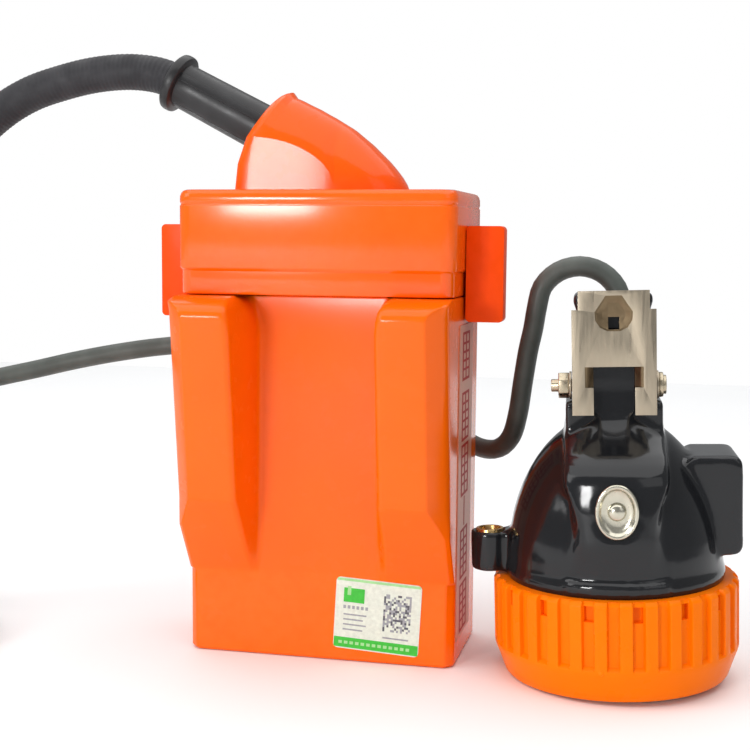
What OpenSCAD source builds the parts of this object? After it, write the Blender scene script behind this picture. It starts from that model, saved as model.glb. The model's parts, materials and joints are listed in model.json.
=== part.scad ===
// Miner's cap lamp: a battery worn on the belt and a lamp head, joined by one cord.
// Frame: +Z up, the front faces -Y, the origin is the centre of the battery case's base.
// The head stands on its bezel beside the battery, and its cord hangs through a belt loop.

/* [Battery case] */
// Width of the case
case_w = 91; // [90:0.5:91.5]
// Depth of the case without its grip pads
case_d = 45; // [44:0.5:46]
// Thickness of the case's walls
wall = 3; // [2.5:0.5:3.5]
// How far the two grip pads stand out of the front, halfway up
pad_out = 19.7; // [18:0.1:20.5]
// Angle by which the pads' faces lean out towards the top
pad_lean = 7; // [5:0.5:8]
// Height of the underside of the case's top wall
shelf_z = 117; // [115:1:118]

/* [Cover] */
// Width of the cover
cover_w = 92; // [92:0.5:93]
// Depth of the cover
cover_d = 54; // [54:0.5:55]
// Height of the cover's lower edge
cover_z = 121.3; // [121.1:0.1:121.5]
// Height of the cover's top face
cover_top = 155; // [150:1:158]

/* [Belt loops] */
// How far each side wing reaches from the middle of the case
wing_x = 58.5; // [54:0.5:60]
// Depth of the tunnel that the belt runs through
belt_gap = 9; // [8:0.5:10]
// Lowest and highest point of that tunnel
belt_z = [96.4, 145]; // [90:0.1:150]

/* [Lamp head] */
// Outer radius of the bezel ring over its ribs
bezel_r = 39; // [38.5:0.1:39.5]
// Height of the bezel ring
bezel_h = 31.5; // [31:0.1:31.6]
// Number of grip grooves round the bezel ring
groove_count = 32; // [20:2:36]
// Outer radius of the shell where the dome starts
shell_r = 34.9; // [34.6:0.1:35]
// Height of the dome above its widest circle
dome_h = 48; // [46:0.5:48]
// Place of the head's axis on the floor
head_at = [97.1, -8.9]; // [-20:0.1:110]
// Angle by which the head's front is turned to the right
head_turn = 4.5; // [0:0.5:8]
// Angle by which the cord pulls the head over to the left
head_lean = 2; // [0:0.5:3]

/* [Cap hook] */
// Height of the hook's bolt in the head
bolt_z = 93.6; // [93.5:0.1:93.8]
// Diameter of the hook's bolt
bolt_d = 4; // [3:0.5:4]
// Thickness of the hook's steel
hook_t = 1.2; // [1:0.1:1.2]

/* [Cord] */
// Diameter of the cord
cord_d = 6.8; // [6:0.1:6.8]
// Diameter of the ribbed sleeve over the cord's battery end
sleeve_d = 12.3; // [11:0.1:12.4]

/* [Hidden] */
$fn = 48;

gap = 0.3;
cover_y = case_d / 2 - cover_d / 2;
rim = [82.6, 35.4];
rim_top = 129;
band_top = 129.3;
back_y = case_d / 2;
clamp_y = [cover_y - 14, cover_y + 14];
cover_screw_z = 126;

cell_d = 18.4;
cell_h = 65;
cell_pitch = 19.2;
cell_z = 12;
cell_x = [for (i = [-1.5:1:1.5]) i * cell_pitch];
board_z = 84;

// The neck's mouth, the direction in which the cord leaves it, and the boot's own lengths
mouth = [-25.9, cover_y, 176.8];
mouth_rise = 27.4;
boot_len = 34.5;
boot_plug = 8;

loop_x = [16, 42];
arm_z = [113, 144];
arm_x = 49.8;
loop_z = [92.4, 149];
loop_t = 3;
loop_y = back_y + gap;
loop_screw_x = [22, 36];
loop_screw_z = 106;

shell_skirt_r = 34;
dome_z = 36;
dome_r = 34.2;
post_x = 11.3;
post_y = [-12.6, 9];
bolt_y = -10;
hook_x = post_x + 0.35 + hook_t;
hook_front = -17.2;
contact_z = 58.2;
contact_y = -35.6;
contact_seat = -26.2;
lug_x = -40.2;
lug_top = 45.6;
box_x = 39;
box_z = [40.3, 71.5];
button_z = 58;
button_r = 3.5;
gland_at = [3, 17];
reflector_z = 8.25;
sink_z = 37.7;
sink_screw_r = 20;
first_groove = -92.1;

// The cord from the boot over to the coil, then from the coil through the left belt loop to the head.
// The first sleeve_points of them lie in the sleeve.
drop_route = [[-49.4, -4.5, 189], [-56.5, -4.5, 192.6], [-64, -4.5, 195], [-74, -4.5, 196],
    [-86, -4.5, 195.2], [-98, -4.5, 192.8], [-110, -4.5, 189.2], [-121, -4.5, 183.5],
    [-131, -4.5, 175.5], [-139, -4, 165], [-145, -4, 152], [-149, -3.5, 137], [-151, -3, 121],
    [-152, -3, 105], [-152, -3, 89], [-152, -3, 73], [-152, -3, 57], [-152, -3, 43], [-153.5, -3.7, 31],
    [-158, -6, 20.5], [-165, -9, 14.5], [-173, -12.4, 12], [-180.5, -17, 11.4], [-187, -24, 11.2],
    [-190.6, -33, 11.2], [-191.2, -43, 11.2], [-189.4, -53, 10.6], [-185.6, -62, 9.2],
    [-179.5, -69.6, 7]];
sleeve_points = 13;
run_route = [[-159, -1.8, 4], [-169, -1.6, 6], [-178, -1.6, 12.5], [-183.2, -1.4, 22], [-185, -1, 34],
    [-184, 0, 47], [-180, 2, 59], [-173, 5, 69], [-163, 9.5, 77], [-151, 14, 82.5], [-138, 18, 86],
    [-124, 22, 89.2], [-109, 25.5, 92.8], [-94, 28, 95.8], [-78, 29.8, 98.3], [-62, 30.3, 99.8],
    [-48, 30.3, 99.9], [-34, 30.3, 99.9], [-21, 30.3, 98.6], [-8, 30.5, 95], [5, 31, 89.5],
    [17, 31.3, 82.5], [28, 31.2, 75.5], [38, 29.5, 69.3], [46.5, 25.5, 66], [53.5, 20, 67],
    [58.4, 15.6, 72], [61, 12.5, 80.5], [62.6, 10.8, 91], [64.3, 9.8, 102], [66, 9.2, 110],
    [67.1, 8.9, 117], [68.9, 8.7, 124.1], [74.1, 8.5, 129.2], [81.2, 8.3, 131.1], [88.3, 8.2, 129.2],
    [93.4, 8.1, 124.1], [95.3, 8, 117], [95.3, 8, 110], [95.3, 8, 103.5], [95.7, 8, 88.5]];
coil_at = [-162, -48];
coil_turns_r = [27.5, 46.5];
coil_z = [0.6, 7.4];
tie_t = 0.5;

function unit(v) = v / norm(v);
function heading(p, i) = unit(p[min(i + 1, len(p) - 1)] - p[max(i - 1, 0)]);
function side_of(p, i) =
    let (t = heading(p, i), s = i == 0 ? [0, 1, 0.1] : side_of(p, i - 1)) unit(s - (s * t) * t);

// A closed tube of diameter d whose rings stand on the points of a route
module tube(route, d, sides) {
    rings = [for (i = [0:len(route) - 1], k = [0:sides - 1])
        let (t = heading(route, i), s = side_of(route, i), a = 360 * k / sides)
        route[i] + d / 2 * (cos(a) * s + sin(a) * cross(t, s))];
    last = len(rings) - sides;
    walls = [for (j = [0:sides:last - 1], k = [0:sides - 1])
        [j + k, j + sides + k, j + sides + (k + 1) % sides, j + (k + 1) % sides]];
    polyhedron(rings, concat([[for (k = [0:sides - 1]) k]], walls, [[for (k = [sides - 1:-1:0]) last + k]]));
}

module rounded_rect(w, d, r) {
    square([w - 2 * r, d], center = true);
    square([w, d - 2 * r], center = true);
    for (x = [-1, 1], y = [-1, 1])
        translate([x * (w / 2 - r), y * (d / 2 - r)])
            circle(r);
}

// An upright block with round corners between two heights
module slab(size, r, z) {
    translate([0, 0, z[0]])
        linear_extrude(z[1] - z[0])
            rounded_rect(size[0], size[1], r);
}

// A bar with round corners in the XZ plane, from one depth to another
module upright_plate(x, z, r, y) {
    translate([(x[0] + x[1]) / 2, y[1], (z[0] + z[1]) / 2])
        rotate([90, 0, 0])
            linear_extrude(y[1] - y[0])
                rounded_rect(x[1] - x[0], z[1] - z[0], r);
}

// A box from one corner to the opposite one
module block(x, y, z) {
    translate([x[0], y[0], z[0]])
        cube([x[1] - x[0], y[1] - y[0], z[1] - z[0]]);
}

// A rod along Y that starts at depth y and runs away from the front
module rod_y(x, z, r, y, len) {
    translate([x, y, z])
        rotate([-90, 0, 0])
            cylinder(r = r, h = len);
}

// A rod along X
module rod_x(y, z, r, x, len) {
    translate([x, y, z])
        rotate([0, 90, 0])
            cylinder(r = r, h = len);
}

// Local +Z runs out of the neck's mouth, along the cord
module at_mouth() {
    translate(mouth)
        rotate([0, mouth_rise - 90, 0])
            children();
}

// The head's own frame: its axis is +Z and its front is -Y
module on_head() {
    translate([head_at[0], head_at[1], (bezel_r - 3.7) * sin(head_lean)])
        rotate([0, 0, head_turn])
            rotate([0, -head_lean, 0])
                children();
}

// ---- Battery ----

// One grip pad's outline in plan, halfway up: a steep flank by the channel and a long bevel outside
module pad_plan(t) {
    face = t - pad_out;
    side = case_w / 2 - t;
    polygon([[side, 8], [20.6 + t, 8], [20.6 + t, 0], [22.7 + t, face + 2], [24.7 + t, face],
        [39.3 - t / 2, face], [side - 1.9, face + 4.6], [side, face + 8.8]]);
}

// One grip pad, or its hollow for a wall t: a ramp at the bottom, a leaning face and a rounded-off top
module pad(t, top) {
    intersection() {
        translate([0, -back_y, 84])
            rotate([pad_lean, 0, 0])
                translate([0, 0, -62])
                    linear_extrude(102)
                        pad_plan(t);
        rotate([90, 0, 90])
            linear_extrude(case_w / 2)
                polygon([[0, 28.2 + 2 * t], [-back_y, 28.2 + 2 * t], [-50, 74 + 2 * t], [-50, top - 9],
                    [t - 45, top - 3.5], [t - 40, top - 1], [t - 33, top], [0, top]]);
    }
}

module battery_case() {
    color("darkorange")
        difference() {
            union() {
                slab([case_w, case_d], 4, [0, cover_z - gap]);
                for (side = [0, 1])
                    mirror([side, 0, 0])
                        pad(0, cover_z - gap);
                slab(rim, 3, [shelf_z, rim_top]);
            }
            slab([case_w - 2 * wall, case_d - 2 * wall], 2, [wall, shelf_z]);
            for (side = [0, 1])
                mirror([side, 0, 0])
                    pad(wall, shelf_z);
            slab([rim[0] - 4, rim[1] - 4], 2, [shelf_z - 1, rim_top + 1]);
            for (x = [-8, 8])
                rod_y(x, cover_screw_z, 1.55, 10, 12);
            for (side = [-1, 1], x = loop_screw_x)
                rod_y(side * x, loop_screw_z, 1.55, back_y - wall - 1, wall + 2);
        }
}

module top_cover() {
    inner = [cover_w - 5.6, cover_d - 5.6];
    color("darkorange")
        difference() {
            translate([0, cover_y, 0]) {
                slab([cover_w - 1.4, cover_d - 1.4], 4.5, [cover_z, band_top]);
                slab([cover_w, cover_d], 5, [band_top, cover_top]);
            }
            difference() {
                translate([0, cover_y, 0])
                    slab(inner, 3, [cover_z - 1, cover_top - wall]);
                block([-44, 44], [-22, -19.8], [cover_z - 2, band_top]);
                block([-44, 44], [-30, -21], [cover_z - 2, cover_z + 2.4]);
                for (y = clamp_y)
                    translate([-8, y, 146.1])
                        cylinder(r = 3.2, h = 7);
            }
            for (y = clamp_y)
                translate([-8, y, 145])
                    cylinder(r = 1.25, h = 6.5);
            translate([-3, cover_y, cover_top - wall - 1])
                cylinder(r = 11, h = wall + 2);
            for (x = [-8, 8])
                rod_y(x, cover_screw_z, 1.6, 18, 6);
        }
}

module cover_gasket() {
    color("dimgray")
        difference() {
            slab([86, 39], 3, [cover_z - gap, cover_z + 2]);
            slab([rim[0] + 0.3, rim[1] + 0.3], 3, [cover_z - 1, cover_z + 3]);
        }
}

module cover_screws() {
    color("silver")
        for (x = [-8, 8]) {
            rod_y(x, cover_screw_z, 1.5, 13, 9);
            difference() {
                rod_y(x, cover_screw_z, 3, back_y - 0.7, 1.8);
                rod_y(x, cover_screw_z, 1.2, back_y + 0.2, 2);
            }
        }
}

module cable_neck() {
    color("orangered")
        difference() {
            hull($fn = 32) {
                translate([-2.8, cover_y, 0])
                    slab([56, 30], 12, [cover_top, cover_top + 1.5]);
                at_mouth()
                    translate([0, 0, -7])
                        cylinder(r = 10.6, h = 7);
                translate([-3.5, cover_y, 166.5])
                    sphere(r = 15);
            }
            at_mouth()
                translate([0, 0, -boot_plug])
                    cylinder(r = 7.5, h = 20);
            at_mouth()
                translate([0, 0, -22])
                    cylinder(r = 6.5, h = 15);
            translate([-8, cover_y, cover_top - 1])
                cylinder(r = 9, h = 12);
            block([-40, 40], [-30, 20], [cover_top - 10, cover_top]);
        }
}

module neck_boot() {
    color("#222222")
        at_mouth()
            rotate_extrude()
                polygon([[3.5, -boot_plug], [7.4, -boot_plug], [7.4, 0], [7.9, 0.2], [7.5, boot_len - 3.8],
                    [10, boot_len - 3], [10, boot_len - 0.6], [9.4, boot_len],
                    [sleeve_d / 2 + 0.1, boot_len], [sleeve_d / 2 + 0.1, boot_len - 8.5],
                    [3.5, boot_len - 10]]);
}

module cable_clamp() {
    color("gainsboro")
        difference() {
            block([-15, -1], [cover_y - 18, cover_y + 18], [140, 146]);
            translate([-8, cover_y, 139])
                cylinder(r = 3.45, h = 8);
            for (y = clamp_y)
                translate([-8, y, 139])
                    cylinder(r = 1.3, h = 8);
        }
}

module clamp_screws() {
    color("silver")
        for (y = clamp_y)
            translate([-8, y, 138]) {
                translate([0, 0, 1.9])
                    cylinder(r = 1.2, h = 11.5);
                cylinder(r = 2.2, h = 2);
            }
}

module battery_cells() {
    color("royalblue")
        for (x = cell_x)
            translate([x, 0, cell_z])
                cylinder(d = cell_d, h = cell_h);
}

// A plate with one through hole for each cell
module cell_plate(z) {
    difference() {
        slab([78, 26], 3, z);
        for (x = cell_x)
            translate([x, 0, z[0] - 1])
                cylinder(d = cell_d + 0.3, h = z[1] - z[0] + 2);
    }
}

module lower_cell_holder() {
    color("black")
        cell_plate([cell_z, cell_z + 6]);
}

module upper_cell_holder() {
    top = cell_z + cell_h;
    color("black")
        union() {
            cell_plate([top - 6, top]);
            for (x = [-36.5, 36.5], y = [-10, 10])
                translate([x, y, top - 1])
                    cylinder(r = 2.2, h = board_z - top + 1);
        }
}

module nickel_tabs() {
    color("silver")
        for (pair = [-1, 1], z = [cell_z - 0.4, cell_z + cell_h])
            block([pair * cell_pitch - 15, pair * cell_pitch + 15], [-4, 4], [z, z + 0.4]);
}

module protection_board() {
    color("green")
        difference() {
            slab([78, 25], 1, [board_z, board_z + 1.6]);
            for (x = [-36.5, 36.5], y = [-10, 10])
                translate([x, y, board_z - 1])
                    cylinder(r = 1, h = 4);
        }
}

module board_parts() {
    top = board_z + 1.6;
    color("#303030")
        union() {
            for (x = [-26, -18, -10])
                block([x, x + 5], [-6, -1], [top, top + 1.6]);
            block([-2, 6], [2, 8], [top, top + 1.8]);
            block([20, 24], [-8, 8], [top, top + 3]);
            translate([14, -8, top])
                cylinder(r = 3, h = 7);
            rod_y(30, top + 2.6, 2.6, -9, 18);
        }
}

module pack_leads() {
    color("firebrick")
        for (side = [-1, 1])
            tube([[side * 3 - 6, 6, board_z + 1.6], [side * 3 - 7, 5, 96], [side * 2 - 8, 2, 108],
                [side * 1.6 - 8, -2, 120], [side * 1.4 - 8, cover_y, 132], [side * 1.4 - 8, cover_y, 150],
                [side * 1.4 - 8.5, cover_y, 160], [side * 1.2 - 11.5, cover_y, 166.5],
                [side - 15.5, cover_y, 171]], 1.8, 8);
}

module foam_pads() {
    color("lightgray")
        union() {
            slab([80, 30], 2, [wall, cell_z - 0.4]);
            translate([24, 0, 0])
                slab([26, 26], 2, [95, 116]);
        }
}

// One moulded belt loop: a base on the case's back, a belt plate behind it and a wing round the side
module belt_loop() {
    outer_y = loop_y + loop_t + belt_gap;
    side_x = cover_w / 2 + gap;
    difference() {
        union() {
            upright_plate(loop_x, loop_z, 3, [loop_y, loop_y + loop_t]);
            upright_plate(loop_x, loop_z, 3, [outer_y, outer_y + loop_t + 0.5]);
            block([loop_x[0] + 3, loop_x[1] - 3], [loop_y, outer_y + 1], [loop_z[0], belt_z[0]]);
            block([loop_x[0] + 3, loop_x[1] - 3], [loop_y, outer_y + 1], [belt_z[1], loop_z[1]]);
            block([loop_x[1] - 5, arm_x], [loop_y, loop_y + loop_t], arm_z);
            block([side_x, arm_x], [-8, loop_y + loop_t], arm_z);
            upright_plate([side_x, wing_x], arm_z, 1.5, [-12.5, -5.5]);
        }
        for (x = loop_screw_x) {
            rod_y(x, loop_screw_z, 1.6, loop_y - 1, loop_t + 2);
            rod_y(x, loop_screw_z, 3.1, loop_y + 1, loop_t);
        }
    }
}

module belt_loop_right() {
    color("darkorange")
        belt_loop();
}

module belt_loop_left() {
    color("darkorange")
        mirror([1, 0, 0])
            belt_loop();
}

module belt_loop_screws() {
    color("silver")
        for (side = [-1, 1], x = loop_screw_x) {
            rod_y(side * x, loop_screw_z, 1.5, loop_y - 7, 8.1);
            difference() {
                rod_y(side * x, loop_screw_z, 3, loop_y + 1.05, 1.9);
                rod_y(side * x, loop_screw_z, 1.1, loop_y + 2, 2);
            }
        }
}

module front_label() {
    color("white")
        translate([20.2, -back_y, 16])
            rotate([90, 3, 0])
                linear_extrude(0.3)
                    rounded_rect(28.8, 24, 1.5);
}

module side_label() {
    color("lightpink")
        translate([case_w / 2, -5.5, 60])
            rotate([90, 0, 90])
                linear_extrude(0.3)
                    rounded_rect(26, 104, 1);
}

// ---- Cord ----

module cable_sleeve() {
    color("#3a3638")
        tube([for (i = [0:sleeve_points - 1]) drop_route[i]], sleeve_d, 12);
}

module cord_drop() {
    color("#4a4a46")
        tube([for (i = [sleeve_points - 1:len(drop_route) - 1]) drop_route[i]], cord_d, 8);
}

// The outline in section of the coil's turns, which lie beside each other, grown by a given amount
module coil_section(grow) {
    r = [coil_turns_r[0] - cord_d / 2 - grow, coil_turns_r[1] + cord_d / 2 + grow];
    translate([(r[0] + r[1]) / 2, (coil_z[0] + coil_z[1]) / 2])
        rounded_rect(r[1] - r[0], coil_z[1] - coil_z[0] + 2 * grow, 3);
}

module cord_coil() {
    color("#4a4a46")
        translate([coil_at[0], coil_at[1], 0])
            rotate_extrude()
                coil_section(0);
}

// A flat strap round all the turns, with its buckle on top
module coil_tie() {
    color("black")
        translate([coil_at[0], coil_at[1], 0])
            rotate([0, 0, -60]) {
                rotate([90, 0, 0])
                    linear_extrude(9, center = true)
                        difference() {
                            coil_section(tie_t + 0.1);
                            coil_section(0.1);
                        }
                block([34, 41], [-5, 5], [coil_z[1] + tie_t, coil_z[1] + tie_t + 1.4]);
            }
}

module cord_run() {
    color("#4a4a46")
        tube(run_route, cord_d, 8);
}

// ---- Lamp head ----

function dome_arc(r, h, z, steps) =
    [for (i = [0:steps]) let (t = 88 * i / steps) [r * cos(t), z + h * sin(t)]];

// The shell's outline from the thread up over the dome
module shell_outline() {
    polygon(concat([[0, 8.3], [shell_skirt_r, 8.3], [shell_skirt_r, bezel_h + gap], [shell_r, bezel_h + gap],
        [shell_r, 34]], dome_arc(dome_r, dome_h, dome_z, 14), [[0, dome_z + dome_h]]));
}

// The hollow inside the shell
module shell_hollow() {
    polygon(concat([[0, 0], [31.4, 0], [31.4, 34]], dome_arc(31.4, 45, 34, 12), [[0, 79]]));
}

// The upright rib that runs down the dome's front from the hook's post to the bezel
module front_rib() {
    intersection() {
        rotate_extrude()
            polygon([[0, 32], [35.7, 32], [35.5, 48], [34.8, 58], [33.6, 66], [32.6, 68.5], [30.6, 71],
                [27.3, 73.4], [23, 75.8], [19, 78.4], [16.2, 80.8], [14.5, 83], [14, 85], [0, 85]]);
        block([-15.6, 15.6], [-40, 0], [bezel_h + gap, 85]);
    }
}

module hook_post() {
    block([-15, 15], [-13, 9.2], [60, 88.9]);
    block([-post_x, post_x], post_y, [88, 118.2]);
    upright_plate([-12.2, 12.2], [118.2, 122.4], 0.8, post_y);
}

module lamp_shell() {
    color("#2e3030")
        on_head()
            difference() {
                union() {
                    rotate_extrude()
                        shell_outline();
                    front_rib();
                    hook_post();
                    translate([lug_x, 0, 32.3])
                        cylinder(r = 6.2, h = lug_top - 32.3);
                    block([lug_x, -30], [-4.6, 4.6], [32.3, lug_top]);
                    upright_plate([22, box_x], box_z, 3, [-14, 14]);
                    translate([gland_at[0], gland_at[1], 66])
                        cylinder(r = 8, h = 18);
                }
                difference() {
                    rotate_extrude()
                        shell_hollow();
                    block([-12, 12], [-12, 8], [68, 80]);
                    for (a = [30, 150, 270])
                        rotate([0, 0, a])
                            translate([sink_screw_r, 0, 42])
                                cylinder(r = 3, h = 40);
                }
                for (a = [30, 150, 270])
                    rotate([0, 0, a])
                        translate([sink_screw_r, 0, 40])
                            cylinder(r = 1.55, h = 14);
                block([24, 36.4], [-11.4, 11.4], [box_z[0] + 2.6, box_z[1] - 2.6]);
                rod_x(0, button_z, button_r + 0.1, 30, 12);
                rod_x(bolt_y, bolt_z, bolt_d / 2 + 0.05, -20, 40);
                translate([lug_x, 0, lug_top - 12])
                    cylinder(r = 4.55, h = 14);
                rod_y(0, contact_z, 2.05, -40, 16);
                rod_y(0, contact_z, 5, contact_seat, 6);
                upright_plate([-6.2, 6.2], [contact_z - 8.2, contact_z + 8.2], 6.1, [-40, contact_y + 1.9]);
                translate([gland_at[0], gland_at[1], 60])
                    cylinder(r = 3.5, h = 26);
            }
}

// The ring's outline in section: a lip under the lens, a smooth chamfer and an upright wall
module bezel_outline() {
    polygon([[30.5, 0.8], [31.5, 0], [bezel_r - 3.7, 0], [bezel_r - 1.6, 5], [bezel_r, 10],
        [bezel_r, bezel_h - 1.2], [bezel_r - 1.9, bezel_h], [shell_skirt_r + 0.08, bezel_h],
        [shell_skirt_r + 0.08, 3], [30.5, 3]]);
}

module bezel_ring() {
    pitch = 360 / groove_count;
    color("orange")
        on_head()
            difference() {
                rotate_extrude()
                    bezel_outline();
                for (i = [0:groove_count - 1])
                    rotate([0, 0, i * pitch + first_groove])
                        block([bezel_r - 1.1, bezel_r + 2], [-1.65, 1.65], [10.5, bezel_h + 1]);
                for (i = [0:groove_count / 2 - 1])
                    rotate([0, 0, (2 * i + 1) * pitch + first_groove])
                        block([bezel_r - 2.7, bezel_r + 2], [-1.5, 1.5], [bezel_h - 6.3, bezel_h - 1.3]);
            }
}

module lens() {
    color("lightcyan")
        on_head()
            translate([0, 0, 3.3])
                cylinder(r = 33.6, h = 3);
}

module lens_gasket() {
    color("dimgray")
        on_head()
            translate([0, 0, 6.3])
                difference() {
                    cylinder(r = 33.6, h = 1.9);
                    translate([0, 0, -1])
                        cylinder(r = 30.2, h = 4);
                }
}

function bowl(r0, r1, z, h, steps) =
    [for (i = [0:steps]) let (r = r0 + (r1 - r0) * i / steps) [r, z + h * (1 - r * r / (r0 * r0))]];

module reflector() {
    inner = bowl(29.6, 9, reflector_z, 28, 10);
    outer = bowl(30.8, 10, reflector_z, 28, 10);
    color("whitesmoke")
        on_head()
            rotate_extrude()
                polygon(concat(inner, [for (i = [10:-1:1]) [outer[i][0], outer[i][1]]],
                    [[30.8, reflector_z + 1.2], [31.2, reflector_z + 1.2], [31.2, reflector_z]]));
}

module led_board() {
    color("white")
        on_head()
            translate([0, 0, sink_z - 1.7])
                cylinder(r = 12, h = 1.6);
}

module main_led() {
    color("gold")
        on_head() {
            block([-2.6, 2.6], [-2.6, 2.6], [sink_z - 2.7, sink_z - 1.7]);
            translate([0, 0, sink_z - 3.6])
                cylinder(r = 1.7, h = 1);
        }
}

module aux_leds() {
    color("gold")
        on_head()
            for (x = [-6, 6])
                translate([x, 0, sink_z - 2.8])
                    cylinder(r = 1.3, h = 1.1);
}

module heat_sink() {
    color("silver")
        on_head()
            difference() {
                union() {
                    translate([0, 0, sink_z])
                        cylinder(r = 24, h = 4);
                    for (x = [-12:4:12])
                        block([x - 0.8, x + 0.8], [-10, 10], [sink_z + 3, sink_z + 12]);
                }
                for (a = [30, 150, 270])
                    rotate([0, 0, a])
                        translate([sink_screw_r, 0, sink_z - 1])
                            cylinder(r = 1.6, h = 6);
            }
}

module heat_sink_screws() {
    color("dimgray")
        on_head()
            for (a = [30, 150, 270])
                rotate([0, 0, a])
                    translate([sink_screw_r, 0, sink_z]) {
                        cylinder(r = 1.5, h = 14);
                        translate([0, 0, -2])
                            cylinder(r = 2.8, h = 2);
                    }
}

// The hook's front plate as an outline in X and Z, with its slot, its two legs and the stamped window
module hook_front_outline() {
    difference() {
        union() {
            translate([-hook_x, 84.9])
                square([2 * hook_x, 117.5 - 84.9]);
            translate([-10.85, 117])
                square([21.7, 6.3]);
        }
        translate([-6.3, 80])
            square([12.6, 19.9]);
        translate([-8.9, 93.5])
            square([17.8, 6.4]);
        recess_outline(1);
    }
}

// The pressed recess in the hook's plate as an outline in X and Z, k times its full size
module recess_outline(k) {
    translate([0, 115.8])
        polygon(k * [[-2.5, 6], [2.5, 6], [3.4, 4.6], [5.8, 1], [5.6, -1.6], [4.2, -3.8], [2, -4.9],
            [-2, -4.9], [-4.2, -3.8], [-5.6, -1.6], [-5.8, 1], [-3.4, 4.6]]);
}

// A dish that narrows backwards from the hook's front plate, moved forwards by shift
module recess_dish(k, shift) {
    rotate([90, 0, 0])
        hull() {
            translate([0, 0, shift - hook_front - 0.9])
                linear_extrude(0.5)
                    recess_outline(k);
            translate([0, 0, shift - hook_front - 2.2])
                linear_extrude(0.5)
                    recess_outline(0.62 * k);
        }
}

// The floor and the sloping sides of that recess, with the small square hole at its foot
module hook_recess() {
    difference() {
        recess_dish(1.08, 0);
        recess_dish(0.98, 0.8);
        block([-1.7, 1.7], [-20, -10], [111.4, 115.2]);
    }
}

module cap_hook() {
    color("#b0aa9c")
        on_head()
            difference() {
                union() {
                    translate([0, hook_front + hook_t, 0])
                        rotate([90, 0, 0])
                            linear_extrude(hook_t)
                                hook_front_outline();
                    for (x = [-hook_x, hook_x - hook_t])
                        translate([x, 0, 0])
                            rotate([90, 0, 90])
                                linear_extrude(hook_t)
                                    hook_side_outline();
                    hook_recess();
                    for (side = [0, 1])
                        mirror([side, 0, 0])
                            translate([0, 0, 93.5])
                                linear_extrude(6.4)
                                    polygon([[9.8, hook_front + 0.6], [9.8, hook_front + 1.2], [7, -13.9],
                                        [6.3, -13.9], [6.3, -14.6], [8.2, hook_front + 0.6]]);
                }
                rod_x(bolt_y, bolt_z, bolt_d / 2 + 0.05, -20, 40);
            }
}

module hook_bolt() {
    color("#ad997b")
        on_head() {
            rod_x(bolt_y, bolt_z, bolt_d / 2, -19.4, 33.2);
            rod_x(bolt_y, bolt_z, 3.9, hook_x + 0.85, 1.4);
            rod_x(bolt_y, bolt_z, 3, hook_x + 2.2, 1);
        }
}

module hook_nut() {
    color("#ad997b")
        on_head()
            difference() {
                translate([-hook_x - 4.3, bolt_y, bolt_z])
                    rotate([0, 90, 0])
                        cylinder(r = 4.1, h = 3.4, $fn = 6);
                rod_x(bolt_y, bolt_z, bolt_d / 2 + 0.05, -20, 12);
            }
}

module hook_washers() {
    color("silver")
        on_head()
            difference() {
                union() {
                    rod_x(bolt_y, bolt_z, 4.4, -hook_x - 0.85, 0.7);
                    rod_x(bolt_y, bolt_z, 4.4, hook_x + 0.15, 0.7);
                }
                rod_x(bolt_y, bolt_z, bolt_d / 2 + 0.05, -20, 40);
            }
}

module contact_ring() {
    color("silver")
        on_head()
            difference() {
                upright_plate([-6.1, 6.1], [contact_z - 8.1, contact_z + 8.1], 6,
                    [contact_y, contact_y + 1.9]);
                rod_y(0, contact_z, 4.5, contact_y - 1, 4);
            }
}

module contact_stud() {
    color("silver")
        on_head()
            difference() {
                union() {
                    rod_y(0, contact_z, 4.4, contact_y + 0.4, 1.5);
                    rod_y(0, contact_z, 3, contact_y - 0.4, 1);
                    rod_y(0, contact_z, 2, contact_y + 1, 12.4);
                }
                block([-0.6, 0.6], [contact_y - 1, contact_y + 0.4], [contact_z - 5, contact_z + 5]);
            }
}

module contact_nut() {
    color("silver")
        on_head()
            difference() {
                translate([0, contact_seat + 0.05, contact_z])
                    rotate([-90, 0, 0])
                        cylinder(r = 4.1, h = 3, $fn = 6);
                rod_y(0, contact_z, 2.05, contact_seat - 1, 6);
            }
}

module charge_bush() {
    color("goldenrod")
        on_head()
            translate([lug_x, 0, lug_top - 11.8])
                difference() {
                    cylinder(r = 4.5, h = 12.2);
                    translate([0, 0, 1.5])
                        cylinder(r = 3.5, h = 12);
                    translate([0, 0, -1])
                        cylinder(r = 1.2, h = 4);
                }
}

module charge_pin() {
    color("goldenrod")
        on_head()
            translate([lug_x, 0, lug_top - 11.8])
                cylinder(r = 1.15, h = 11.2);
}

module switch_button() {
    color("#7a2f2a")
        on_head() {
            rod_x(0, button_z, button_r, 33, box_x + 0.9 - 33);
            rod_x(0, button_z, 5, 35, 1.2);
        }
}

module micro_switch() {
    color("black")
        on_head() {
            block([25, 31], [-6, 6], [button_z - 6, button_z + 6]);
            block([27, 30], [-11.4, 11.4], [button_z - 3, button_z + 3]);
            rod_x(0, button_z, 1.6, 30.5, 1.1);
        }
}

module gland_nut() {
    color("#222222")
        on_head()
            translate([gland_at[0], gland_at[1], 84.3])
                difference() {
                    cylinder(r = 7.6, h = 5.4, $fn = 12);
                    translate([0, 0, -1])
                        cylinder(r = 3.5, h = 8);
                }
}

module head_strain_relief() {
    color("#2a2a2a")
        on_head()
            translate([gland_at[0], gland_at[1], 89.8])
                rotate_extrude()
                    polygon([[3.5, 0], [6, 0], [5.4, 4], [4.4, 13], [3.5, 13]]);
}

module head_leads() {
    color("firebrick")
        on_head()
            for (side = [-1, 1])
                tube([[side * 1.2 + 3, 17, 76], [side * 1.4 + 3, 17, 66], [side * 2 + 2, 16.6, 57],
                    [side * 2 + 1, 16.2, 50], [side * 2, 16, 42.5]], 1.6, 8);
}

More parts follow.
